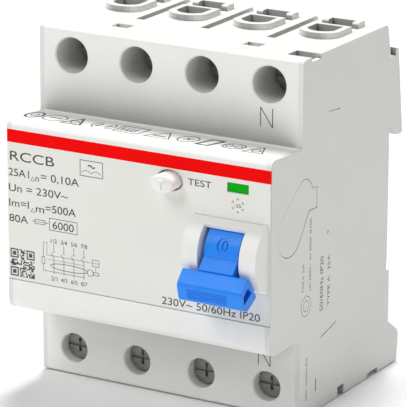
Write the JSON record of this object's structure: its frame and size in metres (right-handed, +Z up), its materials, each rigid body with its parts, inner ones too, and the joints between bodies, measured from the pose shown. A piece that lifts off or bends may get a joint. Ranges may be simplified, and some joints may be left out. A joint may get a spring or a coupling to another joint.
{
  "type": "residual current device",
  "caption": "Multi-pole residual current circuit breaker for a 35 mm rail, with a tilting handle, test button, status window and lift-cage screw terminals.",
  "frame": {"origin": "middle of the rail seat, at half of the width, on the housing's rear face", "axes": "+Y out of the back, towards the rail; +Z up; +X to the right seen from the front"},
  "size_m": [0.07, 0.0738, 0.0864],
  "materials": {
    "housing_plastic": "fine matt moulded",
    "cover_plastic": "fine matt moulded",
    "label_film": "printed, satin",
    "clear_lens": "clear polycarbonate",
    "handle_blue": "satin moulded",
    "button_white": "satin moulded",
    "flag_green": "green above, red below",
    "inner_plastic": "moulded",
    "shaft_plastic": "moulded",
    "plated_steel": "zinc plated",
    "spring_steel": "drawn wire",
    "copper": "bare copper",
    "contact_silver": "silver contact",
    "core_metal": "ring core",
    "wire_insulation": "insulated wire",
    "arc_fibre": "fibre board",
    "circuit_board": "solder resist",
    "component": "component body"
  },
  "bodies": {
    "housing": {"base_housing": "housing_plastic", "front_cover": "cover_plastic", "front_label": "label_film", "window_lens": "clear_lens", "accessory_port_cover": "housing_plastic", "toggle_pin": "plated_steel", "mechanism_frame": "plated_steel", "linkage_pins": "plated_steel", "fixed_contact_tips": "contact_silver", "arc_chamber_frames": "arc_fibre", "arc_chamber_plates": "plated_steel", "terminal_bars": "copper", "core_case": "inner_plastic", "transformer_core": "core_metal", "secondary_winding": "copper", "primary_conductors": "wire_insulation", "relay_case": "inner_plastic", "relay_yoke": "plated_steel", "relay_coil": "copper", "relay_board": "circuit_board", "board_capacitor": "component", "inner_carrier": "inner_plastic", "pole_barriers": "housing_plastic", "button_spring": "spring_steel", "test_contact_blade": "copper", "test_resistor": "component", "rail_clip_spring_left": "spring_steel", "rail_clip_spring_right": "spring_steel"},
    "handle": {"toggle_lever": "handle_blue", "toggle_crank": "plated_steel", "toggle_spring": "spring_steel"},
    "link": {"operating_link": "plated_steel"},
    "contacts": {"contact_shaft": "shaft_plastic", "moving_contacts": "copper", "moving_contact_tips": "contact_silver", "contact_springs": "spring_steel"},
    "status_flag": {"indicator_flag": "flag_green"},
    "test_key": {"test_button": "button_white"},
    "latch": {"latch_lever": "shaft_plastic"},
    "trip": {"trip_lever": "shaft_plastic"},
    "plunger": {"relay_plunger": "shaft_plastic"},
    "clip_left": {"rail_clip_left": "inner_plastic"},
    "clip_right": {"rail_clip_right": "inner_plastic"},
    "line_screw_1": {"line_screw_1": "plated_steel"},
    "line_cage_1": {"line_cage_1": "plated_steel"},
    "line_screw_2": {"line_screw_2": "plated_steel"},
    "line_cage_2": {"line_cage_2": "plated_steel"},
    "line_screw_3": {"line_screw_3": "plated_steel"},
    "line_cage_3": {"line_cage_3": "plated_steel"},
    "line_screw_4": {"line_screw_4": "plated_steel"},
    "line_cage_4": {"line_cage_4": "plated_steel"},
    "load_screw_1": {"load_screw_1": "plated_steel"},
    "load_cage_1": {"load_cage_1": "plated_steel"},
    "load_screw_2": {"load_screw_2": "plated_steel"},
    "load_cage_2": {"load_cage_2": "plated_steel"},
    "load_screw_3": {"load_screw_3": "plated_steel"},
    "load_cage_3": {"load_cage_3": "plated_steel"},
    "load_screw_4": {"load_screw_4": "plated_steel"},
    "load_cage_4": {"load_cage_4": "plated_steel"}
  },
  "joints": [
    {"name": "handle_pivot", "type": "hinge", "parent": "housing", "child": "handle", "pos_m": [0.0249, -0.0547, 0.0011], "axis": [-1, 0, 0], "range_deg": [0, 52]},
    {"name": "link_pivot", "type": "hinge", "parent": "handle", "child": "link", "pos_m": [0.0234, -0.04661, 0.00505], "axis": [1, 0, 0], "range_deg": [0, 57]},
    {"name": "contact_shaft_turn", "type": "hinge", "parent": "housing", "child": "contacts", "pos_m": [0, -0.017, 0.009], "axis": [1, 0, 0], "range_deg": [0, 28.2]},
    {"name": "flag_slide", "type": "slide", "parent": "housing", "child": "status_flag", "axis": [0, 0, 1], "range_m": [0, 0.00305]},
    {"name": "test_press", "type": "slide", "parent": "housing", "child": "test_key", "axis": [0, 1, 0], "range_m": [0, 0.0022], "stiffness_N_per_m": 900, "springref_m": -0.0006, "deforming": ["button_spring"]},
    {"name": "relay_push", "type": "slide", "parent": "housing", "child": "plunger", "axis": [0, -1, 0], "range_m": [0, 0.001], "stiffness_N_per_m": 400, "springref_m": -0.0005},
    {"name": "trip_turn", "type": "hinge", "parent": "housing", "child": "trip", "pos_m": [0.024, -0.0365, -0.013], "axis": [1, 0, 0], "range_deg": [0, 16.2]},
    {"name": "latch_turn", "type": "hinge", "parent": "housing", "child": "latch", "pos_m": [0.0245, -0.046, -0.012], "axis": [-1, 0, 0], "range_deg": [0, 8.1]},
    {"name": "clip_left_slide", "type": "slide", "parent": "housing", "child": "clip_left", "axis": [0, 0, -1], "range_m": [0, 0.004], "stiffness_N_per_m": 1500, "springref_m": -0.002, "deforming": ["rail_clip_spring_left"]},
    {"name": "clip_right_slide", "type": "slide", "parent": "housing", "child": "clip_right", "axis": [0, 0, -1], "range_m": [0, 0.004], "stiffness_N_per_m": 1500, "springref_m": -0.002, "deforming": ["rail_clip_spring_right"]},
    {"name": "line_screw_1_turn", "type": "hinge", "parent": "housing", "child": "line_screw_1", "pos_m": [-0.02625, -0.03, 0.0372], "axis": [0, 1, 0], "range_deg": [0, 1892]},
    {"name": "line_cage_1_lift", "type": "slide", "parent": "housing", "child": "line_cage_1", "axis": [0, -1, 0], "range_m": [0, 0.0042]},
    {"name": "line_screw_2_turn", "type": "hinge", "parent": "housing", "child": "line_screw_2", "pos_m": [-0.00875, -0.03, 0.0372], "axis": [0, 1, 0], "range_deg": [0, 1892]},
    {"name": "line_cage_2_lift", "type": "slide", "parent": "housing", "child": "line_cage_2", "axis": [0, -1, 0], "range_m": [0, 0.0042]},
    {"name": "line_screw_3_turn", "type": "hinge", "parent": "housing", "child": "line_screw_3", "pos_m": [0.00875, -0.03, 0.0372], "axis": [0, 1, 0], "range_deg": [0, 1892]},
    {"name": "line_cage_3_lift", "type": "slide", "parent": "housing", "child": "line_cage_3", "axis": [0, -1, 0], "range_m": [0, 0.0042]},
    {"name": "line_screw_4_turn", "type": "hinge", "parent": "housing", "child": "line_screw_4", "pos_m": [0.02625, -0.03, 0.0372], "axis": [0, 1, 0], "range_deg": [0, 1892]},
    {"name": "line_cage_4_lift", "type": "slide", "parent": "housing", "child": "line_cage_4", "axis": [0, -1, 0], "range_m": [0, 0.0042]},
    {"name": "load_screw_1_turn", "type": "hinge", "parent": "housing", "child": "load_screw_1", "pos_m": [-0.02625, -0.0369, -0.03455], "axis": [0, 1, 0], "range_deg": [0, 1892]},
    {"name": "load_cage_1_lift", "type": "slide", "parent": "housing", "child": "load_cage_1", "axis": [0, -1, 0], "range_m": [0, 0.0042]},
    {"name": "load_screw_2_turn", "type": "hinge", "parent": "housing", "child": "load_screw_2", "pos_m": [-0.00875, -0.0369, -0.03455], "axis": [0, 1, 0], "range_deg": [0, 1892]},
    {"name": "load_cage_2_lift", "type": "slide", "parent": "housing", "child": "load_cage_2", "axis": [0, -1, 0], "range_m": [0, 0.0042]},
    {"name": "load_screw_3_turn", "type": "hinge", "parent": "housing", "child": "load_screw_3", "pos_m": [0.00875, -0.0369, -0.03455], "axis": [0, 1, 0], "range_deg": [0, 1892]},
    {"name": "load_cage_3_lift", "type": "slide", "parent": "housing", "child": "load_cage_3", "axis": [0, -1, 0], "range_m": [0, 0.0042]},
    {"name": "load_screw_4_turn", "type": "hinge", "parent": "housing", "child": "load_screw_4", "pos_m": [0.02625, -0.0369, -0.03455], "axis": [0, 1, 0], "range_deg": [0, 1892]},
    {"name": "load_cage_4_lift", "type": "slide", "parent": "housing", "child": "load_cage_4", "axis": [0, -1, 0], "range_m": [0, 0.0042]}
  ],
  "couplings": [
    {"joint": "link_pivot", "follows": "handle_pivot", "ratio": 1.0846},
    {"joint": "contact_shaft_turn", "follows": "handle_pivot", "ratio": 0.53846},
    {"joint": "flag_slide", "follows": "handle_pivot", "m_per_rad": 0.003306},
    {"joint": "trip_turn", "follows": "relay_push", "rad_per_m": 279.25},
    {"joint": "latch_turn", "follows": "relay_push", "rad_per_m": 139.63},
    {"joint": "line_screw_1_turn", "follows": "line_cage_1_lift", "rad_per_m": 7854},
    {"joint": "line_screw_2_turn", "follows": "line_cage_2_lift", "rad_per_m": 7854},
    {"joint": "line_screw_3_turn", "follows": "line_cage_3_lift", "rad_per_m": 7854},
    {"joint": "line_screw_4_turn", "follows": "line_cage_4_lift", "rad_per_m": 7854},
    {"joint": "load_screw_1_turn", "follows": "load_cage_1_lift", "rad_per_m": 7854},
    {"joint": "load_screw_2_turn", "follows": "load_cage_2_lift", "rad_per_m": 7854},
    {"joint": "load_screw_3_turn", "follows": "load_cage_3_lift", "rad_per_m": 7854},
    {"joint": "load_screw_4_turn", "follows": "load_cage_4_lift", "rad_per_m": 7854}
  ]
}
